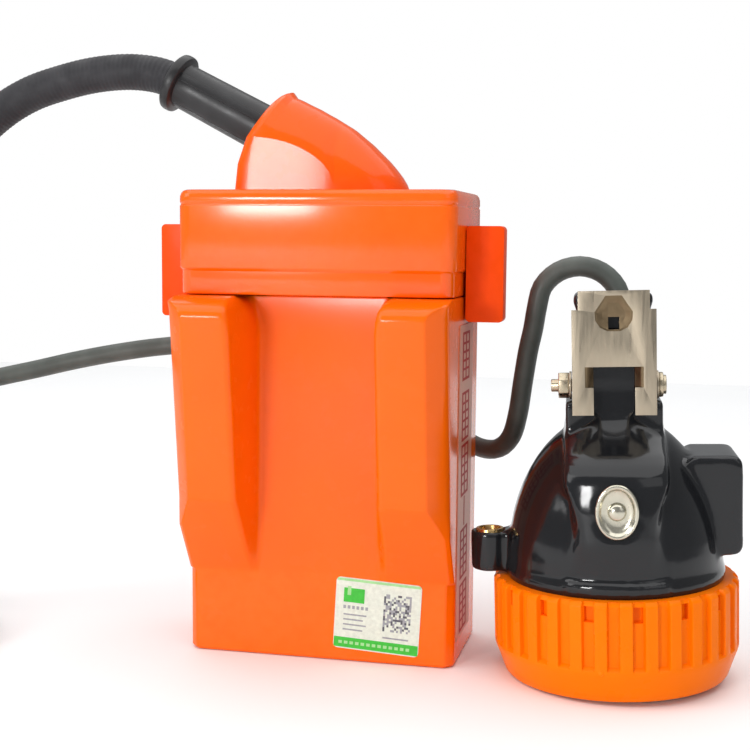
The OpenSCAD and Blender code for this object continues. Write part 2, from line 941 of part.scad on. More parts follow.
battery_case();
top_cover();
cover_gasket();
cover_screws();
cable_neck();
neck_boot();
cable_clamp();
clamp_screws();
battery_cells();
lower_cell_holder();
upper_cell_holder();
nickel_tabs();
protection_board();
board_parts();
pack_leads();
foam_pads();
belt_loop_left();
belt_loop_right();
belt_loop_screws();
front_label();
side_label();
cable_sleeve();
cord_drop();
cord_coil();
coil_tie();
cord_run();
lamp_shell();
bezel_ring();
lens();
lens_gasket();
reflector();
led_board();
main_led();
aux_leds();
heat_sink();
heat_sink_screws();
cap_hook();
hook_bolt();
hook_nut();
hook_washers();
contact_ring();
contact_stud();
contact_nut();
charge_bush();
charge_pin();
switch_button();
micro_switch();
gland_nut();
head_strain_relief();
head_leads();
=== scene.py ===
import json
import math
import random

import bmesh
import bpy
import numpy as np
from mathutils import Matrix, Vector


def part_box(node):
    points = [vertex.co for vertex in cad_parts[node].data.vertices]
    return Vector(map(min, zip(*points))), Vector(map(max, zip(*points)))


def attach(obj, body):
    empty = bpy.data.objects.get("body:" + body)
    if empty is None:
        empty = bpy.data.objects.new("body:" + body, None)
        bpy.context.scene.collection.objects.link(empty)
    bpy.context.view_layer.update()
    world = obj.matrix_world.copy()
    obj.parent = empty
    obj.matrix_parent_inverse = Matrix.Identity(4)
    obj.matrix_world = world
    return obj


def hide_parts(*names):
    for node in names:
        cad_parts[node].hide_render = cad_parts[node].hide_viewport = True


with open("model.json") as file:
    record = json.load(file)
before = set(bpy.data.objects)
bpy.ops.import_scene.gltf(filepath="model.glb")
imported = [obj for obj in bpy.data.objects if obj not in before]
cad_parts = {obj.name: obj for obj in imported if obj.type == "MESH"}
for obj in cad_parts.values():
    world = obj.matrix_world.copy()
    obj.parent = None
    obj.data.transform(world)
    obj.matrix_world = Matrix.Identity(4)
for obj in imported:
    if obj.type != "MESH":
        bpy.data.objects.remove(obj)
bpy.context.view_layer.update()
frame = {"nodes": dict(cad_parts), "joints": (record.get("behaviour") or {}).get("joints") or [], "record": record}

# A miner's cap lamp: the camera and the cord come first, then materials, battery, lamp head and studio.
# Shapes are given in millimetres and turned into metres as their meshes are made.
MM = 0.001
ROOT = "lamp"
joints = {joint["name"]: joint for joint in frame["joints"]}
random.seed(7)


def head_frame():
    """The lamp head's own frame: its axis is +Z, its front is -Y and its origin is on the bezel's face."""
    z = Vector(joints["bezel_turn"]["axis"]).normalized()
    x = Vector(joints["hook_tilt"]["axis"])
    x = (x - x.dot(z) * z).normalized()
    turn = Matrix((x, z.cross(x), z)).transposed().to_4x4()
    return Matrix.Translation(joints["bezel_turn"]["pos_m"]) @ turn


HEAD = head_frame()

# ---- Camera ----

CAMERA_PLACE = (0.11534, -0.43763, 0.13942)
CAMERA_YAW, CAMERA_PITCH, CAMERA_ROLL = math.radians(-13.1), math.radians(5.84), math.radians(0.48)
CAMERA_LENS, SENSOR = 63.66, 36.0


def make_camera():
    camera = bpy.data.objects.new("camera", bpy.data.cameras.new("camera"))
    bpy.context.scene.collection.objects.link(camera)
    camera.data.sensor_width = SENSOR
    camera.data.lens = CAMERA_LENS
    camera.data.clip_start = 0.01
    level = math.cos(CAMERA_PITCH)
    forward = Vector((math.sin(CAMERA_YAW) * level, math.cos(CAMERA_YAW) * level, -math.sin(CAMERA_PITCH)))
    turn = forward.to_track_quat("-Z", "Y").to_matrix() @ Matrix.Rotation(CAMERA_ROLL, 3, "Z")
    camera.matrix_world = Matrix.Translation(CAMERA_PLACE) @ turn.to_4x4()
    bpy.context.scene.camera = camera


make_camera()

# ---- Mesh helpers ----


def link(name, mesh):
    """A new object in the scene, from a mesh or other data."""
    thing = bpy.data.objects.new(name, mesh)
    bpy.context.scene.collection.objects.link(thing)
    return thing


def solid(name, skin, place=None):
    """A mesh object from (points in mm, faces), its normals outward."""
    mesh = bpy.data.meshes.new(name)
    mesh.from_pydata([Vector(p) * MM for p in skin[0]], [], skin[1])
    work = bmesh.new()
    work.from_mesh(mesh)
    bmesh.ops.recalc_face_normals(work, faces=work.faces)
    work.to_mesh(mesh)
    work.free()
    if place is not None:
        mesh.transform(place)
    return link(name, mesh)


def shade(thing, angle=32):
    """Smooth shading, but sharp where faces meet at more than angle degrees."""
    thing.data.shade_smooth()
    thing.data.set_sharp_from_angle(angle=math.radians(angle))


def applied(thing):
    """Puts the result of thing's modifiers in its mesh."""
    bpy.context.view_layer.update()
    made = bpy.data.meshes.new_from_object(thing.evaluated_get(bpy.context.evaluated_depsgraph_get()))
    thing.modifiers.clear()
    thing.data = made
    return thing


def dress(thing, finish, body=ROOT, nodes=(), angle=32):
    """Material, smooth shading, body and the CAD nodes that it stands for."""
    thing.data.materials.clear()
    thing.data.materials.append(finish)
    shade(thing, angle)
    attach(thing, body)
    if nodes:
        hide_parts(*nodes)
    return thing


def join_skins(skins):
    """One (points, faces) skin from several."""
    points, faces = [], []
    for more_points, more_faces in skins:
        start = len(points)
        points += list(more_points)
        faces += [tuple(i + start for i in face) for face in more_faces]
    return points, faces


def loft(rings, closed=False):
    """A skin through rings of equal length: capped at both ends, or closed back onto the first ring."""
    n = len(rings[0])
    points = [tuple(p) for ring in rings for p in ring]
    spans = len(rings) if closed else len(rings) - 1
    faces = []
    for i in range(spans):
        a, b = i * n, (i + 1) % len(rings) * n
        faces += [(a + k, a + (k + 1) % n, b + (k + 1) % n, b + k) for k in range(n)]
    if not closed:
        last = (len(rings) - 1) * n
        faces += [tuple(range(n))[::-1], tuple(range(last, last + n))]
    return points, faces


def lathe(profile, sides=64, closed=False, radius=None):
    """A turned skin round Z from (r, z) points. radius(r, z, angle) may change r as the angle changes."""
    rings = []
    for r, z in profile:
        ring = []
        for k in range(sides):
            a = math.tau * k / sides
            here = radius(r, z, a) if radius else r
            ring.append((here * math.cos(a), here * math.sin(a), z))
        rings.append(ring)
    return loft(rings, closed)


def rounded(corners, steps=5):
    """A closed outline through (x, y, r) corners, each turned into an arc of steps + 1 points."""
    out = []
    for i, (x, y, r) in enumerate(corners):
        p = np.array([x, y], float)
        a = np.array(corners[i - 1][:2], float) - p
        b = np.array(corners[(i + 1) % len(corners)][:2], float) - p
        la, lb = np.linalg.norm(a), np.linalg.norm(b)
        a, b = a / la, b / lb
        half = math.acos(max(-1.0, min(1.0, float(a @ b)))) / 2
        t = min(r / max(math.tan(half), 1e-6), 0.48 * la, 0.48 * lb)
        middle = (a + b) / max(np.linalg.norm(a + b), 1e-9)
        centre = p + middle * t / max(math.cos(half), 1e-6)
        v0, v1 = p + a * t - centre, p + b * t - centre
        w = math.pi - 2 * half
        for s in np.linspace(0, 1, steps + 1):
            if w < 1e-3:
                q = p + (a * (1 - s) + b * s) * t
            else:
                q = centre + (math.sin((1 - s) * w) * v0 + math.sin(s * w) * v1) / math.sin(w)
            out.append((float(q[0]), float(q[1])))
    return out


def slab_ring(z, width, depth, y, radius):
    """A rounded rectangle at one height, its middle at (0, y)."""
    w, d = width / 2, depth / 2
    corners = [(w, d, radius), (w, -d, radius), (-w, -d, radius), (-w, d, radius)]
    return [(px, py + y, z) for px, py in rounded(corners)]


def through(points, spacing):
    """A smooth curve through points, with a point about every spacing."""
    p = [np.array(q, float) for q in points]
    p = [2 * p[0] - p[1]] + p + [2 * p[-1] - p[-2]]
    out = []
    for a, b, c, d in zip(p[:-3], p[1:-2], p[2:-1], p[3:]):
        steps = max(2, round(float(np.linalg.norm(c - b)) / spacing))
        for t in np.arange(steps) / steps:
            out.append(0.5 * (2 * b + (c - a) * t + (2 * a - 5 * b + 4 * c - d) * t**2
                              + (3 * b - a - 3 * c + d) * t**3))
    return out + [p[-2]]


def sweep(path, radius, sides):
    """A tube along a path. radius(distance along the path) is its radius there."""
    path = [np.array(q, float) for q in path]
    side = np.array([0.0, 1.0, 0.1])
    travelled, rings = 0.0, []
    for i, p in enumerate(path):
        t = path[min(i + 1, len(path) - 1)] - path[max(i - 1, 0)]
        t = t / np.linalg.norm(t)
        side = side - (side @ t) * t
        side = side / np.linalg.norm(side)
        up = np.cross(t, side)
        travelled += float(np.linalg.norm(p - path[i - 1])) if i else 0.0
        r = radius(travelled)
        rings.append([tuple(p + r * (math.cos(a) * side + math.sin(a) * up))
                      for a in (math.tau * k / sides for k in range(sides))])
    return loft(rings)


def cad_copy(name, node, place=None):
    """A copy of a CAD node's mesh, welded and with its flat faces whole.

    If place is given, the copy is moved out of it, into that place's own frame."""
    mesh = frame["nodes"][node].data.copy()
    mesh.name = name
    if place is not None:
        mesh.transform(place.inverted())
    work = bmesh.new()
    work.from_mesh(mesh)
    bmesh.ops.remove_doubles(work, verts=work.verts, dist=1e-6)
    bmesh.ops.dissolve_limit(work, angle_limit=math.radians(0.4), verts=work.verts, edges=work.edges)
    work.to_mesh(mesh)
    work.free()
    return link(name, mesh)


def eased(name, node, width, segments=2, angle=30):
    """A CAD node with its sharp edges broken by width mm."""
    thing = cad_copy(name, node)
    bevel = thing.modifiers.new("ease", "BEVEL")
    bevel.width = width * MM
    bevel.segments = segments
    bevel.limit_method = "ANGLE"
    bevel.angle_limit = math.radians(angle)
    bevel.miter_outer = "MITER_ARC"
    return applied(thing)


def remade(thing, voxel, passes):
    """Remakes thing in voxels of that many mm, then smooths it."""
    remesh = thing.modifiers.new("remesh", "REMESH")
    remesh.mode = "VOXEL"
    remesh.voxel_size = voxel * MM
    smooth = thing.modifiers.new("smooth", "SMOOTH")
    smooth.factor = 0.5
    smooth.iterations = passes
    return applied(thing)


def softened(name, node, voxel, passes, place, backing):
    """A CAD node with moulded, blended edges: remade in voxels of that many mm and smoothed.

    backing is a block, (low corner, high corner) in mm, behind a wall too thin for the voxels."""
    thing = cad_copy(name, node, place)
    low, high = (Vector(corner) * MM for corner in backing)
    work = bmesh.new()
    work.from_mesh(thing.data)
    block = bmesh.ops.create_cube(work, size=1.0)["verts"]
    bmesh.ops.scale(work, vec=high - low, verts=block)
    bmesh.ops.translate(work, vec=(low + high) / 2, verts=block)
    work.to_mesh(thing.data)
    work.free()
    remade(thing, voxel, passes)
    thing.data.transform(place)
    return thing


# ---- Cord ----

CORD_D, SLEEVE_D = 6.8, 12.3
# The cord's route, as in the CAD source: from the boot over and down to the coil, and from
# the coil up behind the case and over to the lamp head
DROP = [(-56.5, -4.5, 192.6), (-64, -4.5, 195), (-74, -4.5, 196), (-86, -4.5, 195.2), (-98, -4.5, 192.8),
        (-110, -4.5, 189.2), (-121, -4.5, 183.5), (-131, -4.5, 175.5), (-139, -4, 165), (-145, -4, 152),
        (-149, -3.5, 137), (-151, -3, 121), (-152, -3, 105), (-152, -3, 89), (-152, -3, 73), (-152, -3, 57),
        (-152, -3, 43), (-153.5, -3.7, 31), (-158, -6, 20.5), (-165, -9, 14.5), (-173, -12.4, 12),
        (-180.5, -17, 11.4), (-187, -24, 11.2), (-190.6, -33, 11.2), (-191.2, -43, 11.2),
        (-189.4, -53, 10.6), (-185.6, -62, 9.2), (-179.5, -69.6, 7)]
RUN = [(-159, -1.8, 4), (-169, -1.6, 6), (-178, -1.6, 12.5), (-183.2, -1.4, 22), (-185, -1, 34),
       (-184, 0, 47), (-180, 2, 59), (-173, 5, 69), (-163, 9.5, 77), (-151, 14, 82.5), (-138, 18, 86),
       (-124, 22, 89.2), (-109, 25.5, 92.8), (-94, 28, 95.8), (-78, 29.8, 98.3), (-62, 30.3, 99.8),
       (-48, 30.3, 99.9), (-34, 30.3, 99.9), (-21, 30.3, 98.6), (-8, 30.5, 95), (5, 31, 89.5),
       (17, 31.3, 82.5), (28, 31.2, 75.5), (38, 29.5, 69.3), (46.5, 25.5, 66), (53.5, 20, 67),
       (58.4, 15.6, 72), (61, 12.5, 80.5), (62.6, 10.8, 91), (64.3, 9.8, 102), (66, 9.2, 110),
       (67.1, 8.9, 117), (68.9, 8.7, 124.1), (74.1, 8.5, 129.2), (81.2, 8.3, 131.1), (88.3, 8.2, 129.2),
       (93.4, 8.1, 124.1), (95.3, 8, 117), (95.3, 8, 110), (95.3, 8, 103.5), (95.7, 8, 88.5)]
COIL_AT = (-162, -48)
COIL_RADII = (27.5, 46.5)
COIL_ANGLES = (200.0, 1166.3)
COIL_STEP = 18.0
COIL_SPAN = (246.0, 1160.0)
COIL_HEIGHT, COIL_LANDS = 4.0, 264.0
SLEEVE_START, SLEEVE_POINTS = (-49.4, -4.5, 189), 12
SLEEVE_INSET, SLEEVE_RING, SLEEVE_PITCH = 0.09, 0.07, 1.6


def coil_points():
    """The turns on the floor: one flat spiral, which starts where the drop comes down inside it."""
    points = []
    for angle in np.arange(*COIL_SPAN, COIL_STEP):
        share = (angle - COIL_ANGLES[0]) / (COIL_ANGLES[1] - COIL_ANGLES[0])
        r = COIL_RADII[0] + (COIL_RADII[1] - COIL_RADII[0]) * share
        a = math.radians(angle)
        z = COIL_HEIGHT + max(0.0, COIL_LANDS - angle) / COIL_STEP
        points.append((COIL_AT[0] + r * math.cos(a), COIL_AT[1] + r * math.sin(a), z))
    return points


def make_cord():
    """The whole cord as one round curve, and its length in metres."""
    route = [np.array(p) * MM for p in through(DROP + coil_points() + RUN, 2.5)]
    data = bpy.data.curves.new("cord", "CURVE")
    data.dimensions = "3D"
    line = data.splines.new("POLY")
    line.points.add(len(route) - 1)
    for point, place in zip(line.points, route):
        point.co = (*place, 1)
    data.bevel_depth = CORD_D / 2 * MM
    data.bevel_resolution = 5
    data.use_fill_caps = True
    cord = link("cord", data)
    length = float(sum(np.linalg.norm(b - a) for a, b in zip(route[:-1], route[1:])))
    return cord, length


cord, cord_length = make_cord()


def sleeve_radius(distance):
    """Fine rings moulded round the sleeve."""
    return SLEEVE_D / 2 - SLEEVE_INSET + SLEEVE_RING * math.cos(math.tau * distance / SLEEVE_PITCH)


sleeve_path = through([SLEEVE_START] + DROP[:SLEEVE_POINTS], 0.4)
sleeve = solid("flex_sleeve", sweep(sleeve_path, sleeve_radius, 32))

# ---- Materials ----


def shader(name):
    """A new material, its node tree and its Principled node."""
    material = bpy.data.materials.new(name)
    material.use_nodes = True
    tree = material.node_tree
    surface = tree.nodes["Principled BSDF"]
    return material, tree, surface


def noise(tree, scale, detail=3.0, stretch=None):
    """A noise value from the piece's own coordinates. scale is in features per metre."""
    coords = tree.nodes.new("ShaderNodeTexCoord")
    texture = tree.nodes.new("ShaderNodeTexNoise")
    texture.inputs["Scale"].default_value = scale
    texture.inputs["Detail"].default_value = detail
    source = coords.outputs["Object"]
    if stretch:
        mapping = tree.nodes.new("ShaderNodeMapping")
        mapping.inputs["Scale"].default_value = stretch
        tree.links.new(source, mapping.inputs["Vector"])
        source = mapping.outputs["Vector"]
    tree.links.new(source, texture.inputs["Vector"])
    return texture.outputs["Fac"]


def remap(tree, value, low, high, start=0.3, stop=0.7):
    """A value between start and stop, spread over low to high."""
    node = tree.nodes.new("ShaderNodeMapRange")
    node.inputs["From Min"].default_value = start
    node.inputs["From Max"].default_value = stop
    node.inputs["To Min"].default_value = low
    node.inputs["To Max"].default_value = high
    tree.links.new(value, node.inputs["Value"])
    return node.outputs["Result"]


def blend(tree, factor, first, second):
    """A colour between two colours, or between a socket's colour and a colour."""
    node = tree.nodes.new("ShaderNodeMix")
    node.data_type = "RGBA"
    tree.links.new(factor, node.inputs["Factor"])
    for socket, value in zip(node.inputs[6:8], (first, second)):
        if isinstance(value, bpy.types.NodeSocket):
            tree.links.new(value, socket)
        else:
            socket.default_value = (*value, 1)
    return node.outputs[2]


def bump(tree, surface, heights):
    """Bumps on the surface from (height socket, distance in mm, strength) in turn."""
    normal = None
    for height, distance, strength in heights:
        node = tree.nodes.new("ShaderNodeBump")
        node.inputs["Distance"].default_value = distance * MM
        node.inputs["Strength"].default_value = strength
        tree.links.new(height, node.inputs["Height"])
        if normal:
            tree.links.new(normal, node.inputs["Normal"])
        normal = node.outputs["Normal"]
    tree.links.new(normal, surface.inputs["Normal"])


def tint(color, factor):
    """A colour made lighter or darker."""
    return tuple(min(1.0, c * factor) for c in color)


def plastic(name, color, rough=0.3, coat=0.0, spread=0.1, grain=0.35, worn=(1.25, 1.3), gloss=0.5,
            coat_rough=0.1):
    """Moulded plastic: uneven pigment, flow marks, fine orange peel, handled gloss and lighter edges.

    worn says how much lighter the worn edges are: a factor, and a share of a little white."""
    material, tree, surface = shader(name)
    pigment = remap(tree, noise(tree, 35, 2), 0.0, 1.0)
    base = blend(tree, pigment, tint(color, 1 - spread), tint(color, 1 + spread * 0.6))
    edges = tree.nodes.new("ShaderNodeNewGeometry").outputs["Pointiness"]
    scuffed = tree.nodes.new("ShaderNodeMath")
    scuffed.operation = "MULTIPLY"
    tree.links.new(remap(tree, edges, 0.0, 0.55, 0.505, 0.56), scuffed.inputs[0])
    tree.links.new(remap(tree, noise(tree, 260, 4), 0.1, 1.0, 0.35, 0.6), scuffed.inputs[1])
    lighter = tuple(min(1.0, c * worn[0] + 0.012 * worn[1]) for c in color)
    tree.links.new(blend(tree, scuffed.outputs[0], base, lighter), surface.inputs["Base Color"])
    tree.links.new(remap(tree, noise(tree, 120, 4), rough * 0.8, rough * 1.25), surface.inputs["Roughness"])
    surface.inputs["Coat Weight"].default_value = coat
    surface.inputs["Coat Roughness"].default_value = coat_rough
    surface.inputs["IOR"].default_value = 1.5
    surface.inputs["Specular IOR Level"].default_value = gloss
    bump(tree, surface, [(noise(tree, 55, 1), 0.25, 0.12), (noise(tree, 900, 2), 0.02, grain)])
    return material


def rubber(name, color, rough=0.55, grain=0.5):
    """Moulded rubber: dusty patches, a fine matte grain and small pits."""
    material, tree, surface = shader(name)
    dust = remap(tree, noise(tree, 90, 5), 0.0, 0.75, 0.4, 0.75)
    dusty = tuple(c * 1.6 + 0.008 for c in color)
    tree.links.new(blend(tree, dust, color, dusty), surface.inputs["Base Color"])
    handled = remap(tree, noise(tree, 200, 4), rough * 0.85, min(1.0, rough * 1.2))
    tree.links.new(handled, surface.inputs["Roughness"])
    surface.inputs["Sheen Weight"].default_value = 0.04
    surface.inputs["Specular IOR Level"].default_value = 0.4
    bump(tree, surface, [(noise(tree, 1400, 2), 0.03, grain), (noise(tree, 300, 2), 0.05, 0.2)])
    return material


def metal(name, color, rough=0.25, brush=None, spots=0.3):
    """Bare metal: brushed along one axis when brush gives a stretch, with faint stains and worn gloss."""
    material, tree, surface = shader(name)
    stain = remap(tree, noise(tree, 150, 5), 0.0, spots, 0.45, 0.7)
    tree.links.new(blend(tree, stain, color, tint(color, 0.55)), surface.inputs["Base Color"])
    surface.inputs["Metallic"].default_value = 1.0
    lines = noise(tree, 700 if brush else 500, 3, brush)
    tree.links.new(remap(tree, lines, rough * 0.7, rough * 1.5), surface.inputs["Roughness"])
    bump(tree, surface, [(lines, 0.01, 0.35)])
    return material


def clear(name, color, rough=0.03):
    """Clear plastic with slightly uneven gloss."""
    material, tree, surface = shader(name)
    surface.inputs["Base Color"].default_value = (*color, 1)
    surface.inputs["Transmission Weight"].default_value = 1.0
    surface.inputs["IOR"].default_value = 1.55
    tree.links.new(remap(tree, noise(tree, 300, 4), rough, rough * 3), surface.inputs["Roughness"])
    return material


def printed(name, color, rough=0.4, gloss=0.3):
    """Ink on film: slightly uneven colour with a faint press grain."""
    material, tree, surface = shader(name)
    patchy = remap(tree, noise(tree, 900, 3), 0.0, 1.0)
    tree.links.new(blend(tree, patchy, tint(color, 0.9), tint(color, 1.06)), surface.inputs["Base Color"])
    surface.inputs["Roughness"].default_value = rough
    surface.inputs["Specular IOR Level"].default_value = gloss
    bump(tree, surface, [(noise(tree, 2500, 2), 0.005, 0.3)])
    return material


def orange(name, color, rough, coat, grain, gloss, coat_rough=0.1):
    """The lamp's orange plastics: even colour, edges only a little lighter from handling."""
    return plastic(name, color, rough, coat, 0.05, grain, (1.08, 0.4), gloss, coat_rough)


finishes = {
    "orange_plastic": orange("orange_plastic", (0.93, 0.131, 0.0002), 0.24, 0.5, 0.25, 0.03, 0.16),
    "orange_cover_plastic": orange("orange_cover_plastic", (0.93, 0.120, 0.0002), 0.24, 0.85, 0.2, 0.03,
                                   0.13),
    "orange_neck_plastic": orange("orange_neck_plastic", (0.92, 0.100, 0.0002), 0.26, 0.4, 0.3, 0.06),
    "orange_bezel_plastic": orange("orange_bezel_plastic", (0.95, 0.182, 0.0002), 0.32, 0.0, 0.3, 0.07),
    "orange_loop_plastic": orange("orange_loop_plastic", (0.90, 0.068, 0.0004), 0.34, 0.0, 0.3, 0.1),
    "black_plastic": plastic("black_plastic", (0.0085, 0.009, 0.0105), 0.12, 0.0, 0.2, 0.12, (2.2, 0.8),
                             0.42),
    "inner_plastic": plastic("inner_plastic", (0.02, 0.02, 0.021), 0.5, 0.0, 0.2, 0.5),
    "black_rubber": rubber("black_rubber", (0.013, 0.0125, 0.0135), 0.36, 0.35),
    "sleeve_rubber": rubber("sleeve_rubber", (0.016, 0.015, 0.018), 0.60),
    "cord_rubber": rubber("cord_rubber", (0.066, 0.075, 0.066), 0.5),
    "seal_rubber": rubber("seal_rubber", (0.05, 0.05, 0.05), 0.7),
    "foam": rubber("foam", (0.4, 0.4, 0.4), 0.95, 1.0),
    "steel": metal("steel", (0.43, 0.365, 0.275), 0.34, (1.0, 1.0, 0.06), 0.12),
    "plated_steel": metal("plated_steel", (0.55, 0.47, 0.34), 0.28, None, 0.5),
    "polished_steel": metal("polished_steel", (0.58, 0.55, 0.45), 0.2, None, 0.25),
    "nickel": metal("nickel", (0.66, 0.65, 0.62), 0.3),
    "aluminium": metal("aluminium", (0.72, 0.73, 0.74), 0.35, (0.06, 1.0, 1.0)),
    "mirror_coat": metal("mirror_coat", (0.9, 0.9, 0.9), 0.05, None, 0.05),
    "brass": metal("brass", (0.78, 0.52, 0.22), 0.25, None, 0.4),
    "clear_lens": clear("clear_lens", (0.95, 0.98, 0.99)),
    "cell_wrap": plastic("cell_wrap", (0.02, 0.12, 0.42), 0.3, 0.2),
    "board_green": plastic("board_green", (0.01, 0.14, 0.04), 0.4, 0.3),
    "part_black": plastic("part_black", (0.015, 0.015, 0.017), 0.45),
    "lead_red": plastic("lead_red", (0.45, 0.02, 0.015), 0.35),
    "led_yellow": plastic("led_yellow", (0.9, 0.7, 0.12), 0.2, 0.5),
    "board_white": plastic("board_white", (0.8, 0.8, 0.78), 0.5),
    "button_red": rubber("button_red", (0.13, 0.022, 0.016), 0.45),
    "label_white": printed("label_white", (0.72, 0.76, 0.66)),
    "label_clear": printed("label_clear", (0.66, 0.27, 0.17), 0.4, 0.2),
}
inks = {
    "green": printed("ink_green", (0.05, 0.50, 0.045)),
    "pale_green": printed("ink_pale_green", (0.36, 0.68, 0.30)),
    "grey": printed("ink_grey", (0.33, 0.34, 0.36)),
    "dark": printed("ink_dark", (0.10, 0.10, 0.12)),
    "red": printed("ink_red", (0.44, 0.016, 0.008), 0.5, 0.05),
}

# Every CAD node gets the finish of its slot. The pieces below replace the nodes that they name.
slot_of = {part["node"]: part["material_slot"] for part in frame["record"]["subparts"]}
for node, thing in frame["nodes"].items():
    thing.data.materials.clear()
    thing.data.materials.append(finishes[slot_of[node]])

# ---- The cord's own pieces ----

cord.data.materials.append(finishes["cord_rubber"])
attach(cord, ROOT)
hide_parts("cord_drop", "cord_coil", "cord_run")
dress(sleeve, finishes["sleeve_rubber"], ROOT, ["cable_sleeve"], 60)
tie = dress(eased("coil_strap", "coil_tie", 0.2), finishes["inner_plastic"], ROOT, ["coil_tie"])

# ---- Battery ----

CASE_W, CASE_BACK, CASE_TOP = 45.5, 22.5, 121.0
WALL = 3
# The grip pads: half the gap between their faces and between their feet, a point and the lean of their
# faces, the ramp under them (its start and its rise per mm of depth), the bevel along them, the arch that
# widens the gap at the top, and their rounded-off tops
PAD_INSIDE, PAD_FOOT = 23.4, 20.6
LEAN_Y, LEAN_Z, LEAN = -42.2, 84.0, 0.1228
RAMP_Z, RAMP_RISE = 28.2, 1.665
PAD_BEVEL = 6.2
ARCH_DEPTH, ARCH_FOOT, ARCH_RISE = 5.8, 108, 13
PAD_TOP_Z = (114.6, 116.4, 117.8, 119.0, 120.0, 120.7, 121.0)
PAD_TOP_Y = (-46, -45.6, -44.4, -42.4, -39.6, -36.2, -33)
# The rim that the cover sits on: half its width and depth, and its height
RIM = (41.3, 17.7)
RIM_TOP = 129
COVER_Y = -4.5
COVER_LOW, COVER_CREASE, COVER_TOP = 121.3, 129.3, 155.0


def leaning_face(z):
    """The y of the pads' faces, which lean out towards the top."""
    return LEAN_Y - (z - LEAN_Z) * LEAN


def pad_face(z):
    """The y of a pad's front at a height: the ramp, the leaning face and the rounded-off top."""
    if z <= RAMP_Z:
        return -CASE_BACK
    face = max(-CASE_BACK - (z - RAMP_Z) / RAMP_RISE, leaning_face(z))
    if z > PAD_TOP_Z[0]:
        face = max(face, np.interp(z, PAD_TOP_Z, PAD_TOP_Y))
    return float(face)


def case_ring(z):
    """The case's outline at one height, grip pads included, from the back corner round to the front."""
    face = pad_face(z)
    bevel = max(1.5, leaning_face(z) + PAD_BEVEL - face) if z > RAMP_Z else 2.6
    bevel = min(bevel, PAD_BEVEL)
    arch = ARCH_DEPTH * (1 - math.sqrt(1 - min(0.99, max(0.0, (z - ARCH_FOOT) / ARCH_RISE)) ** 2))
    foot, inside = PAD_FOOT + arch, PAD_INSIDE + 0.6 * arch
    half = [(CASE_W, CASE_BACK, 4), (CASE_W, face + bevel, min(6, bevel)),
            (CASE_W - bevel, face, min(1.6, bevel)), (inside, face, 2.4), (foot, -CASE_BACK, 2.6)]
    return [(x, y, z) for x, y in rounded(half + [(-x, y, r) for x, y, r in reversed(half)], 6)]


def inset_ring(z, width, back, radius):
    """A plain outline with as many points as case_ring."""
    half = [(width, back, radius), (width, 3 - back, 0.4), (width, -back, radius), (22, -back, 0.4),
            (10, -back, 0.4)]
    return [(x, y, z) for x, y in rounded(half + [(-x, y, r) for x, y, r in reversed(half)], 6)]


def shrunk(ring, amount, z):
    """A ring drawn in towards the case's axis by about amount, at another height."""
    return [(x - amount * math.copysign(min(1, abs(x) / 20), x),
             y - amount * math.copysign(min(1, abs(y) / 10), y), z) for x, y, _ in ring]


def make_case():
    """The case from its foot up, over the rim that the cover sits on, and down its hollow to the floor."""
    rings = [shrunk(case_ring(1), i, z) for z, i in ((0, 1.3), (0.3, 0.5), (1.2, 0))]
    heights = [8, 16, 24, 27.6, *np.arange(28.6, 55, 1.1), 54.6, 55.2, 56, *np.arange(60, 106, 5.0),
               *np.arange(106, 114, 1.5), *np.arange(114.4, 120.9, 0.45)]
    rings += [case_ring(z) for z in heights]
    rings += [shrunk(case_ring(CASE_TOP), 0.4, CASE_TOP), shrunk(case_ring(CASE_TOP), 2.4, CASE_TOP)]
    w, back = RIM
    rings += [inset_ring(z, w - i, back - i, 3 - i / 2)
              for z, i in ((CASE_TOP, 0), (RIM_TOP - 0.5, 0), (RIM_TOP, 0.5), (RIM_TOP, 1.6),
                           (RIM_TOP - 0.3, 2), (117, 2))]
    rings += [inset_ring(z, CASE_W - WALL - i, CASE_BACK - WALL - i, 2)
              for z, i in ((116.9, 0), (4.5, 0), (3, 1.2))]
    return loft(rings)


dress(solid("case_moulding", make_case()), finishes["orange_plastic"], ROOT, ["battery_case"],
      28)


def make_cover():
    """The lid from its ceiling down its inside, out over its band and crease, and up to its softened top."""
    low, crease, top = COVER_LOW, COVER_CREASE, COVER_TOP
    rings = [slab_ring(z, 86.4 - i, 48.4 - i, COVER_Y, 3)
             for z, i in ((top - 3, 3), (top - 4, 0), (low + 0.4, 0))]
    rings += [slab_ring(z, 90.6 - i, 52.6 - i, COVER_Y, 4.5)
              for z, i in ((low, 2.6), (low, 1.2), (low + 0.25, 0.35), (low + 0.9, 0), (crease - 0.5, 0))]
    rings += [slab_ring(z, 92 - i, 54 - i, COVER_Y, 5)
              for z, i in ((crease - 0.12, 0.9), (crease + 0.3, 0.25), (crease + 0.9, 0), (top - 5.2, 0),
                           (top - 4.9, 0.45), (top - 4.6, 0.5), (top - 4.3, 0.3), (top - 3.9, 0.05),
                           (top - 2.2, 0.1), (top - 1.1, 0.7), (top - 0.35, 1.7), (top, 3.2), (top, 6))]
    floor = [slab_ring(z, 86.6, 9, -24.4, 1) for z in (low + 0.2, low + 2.4)]
    return join_skins([loft(rings), loft(floor)])


dress(solid("cover_moulding", make_cover()), finishes["orange_cover_plastic"], ROOT, ["top_cover"],
      28)

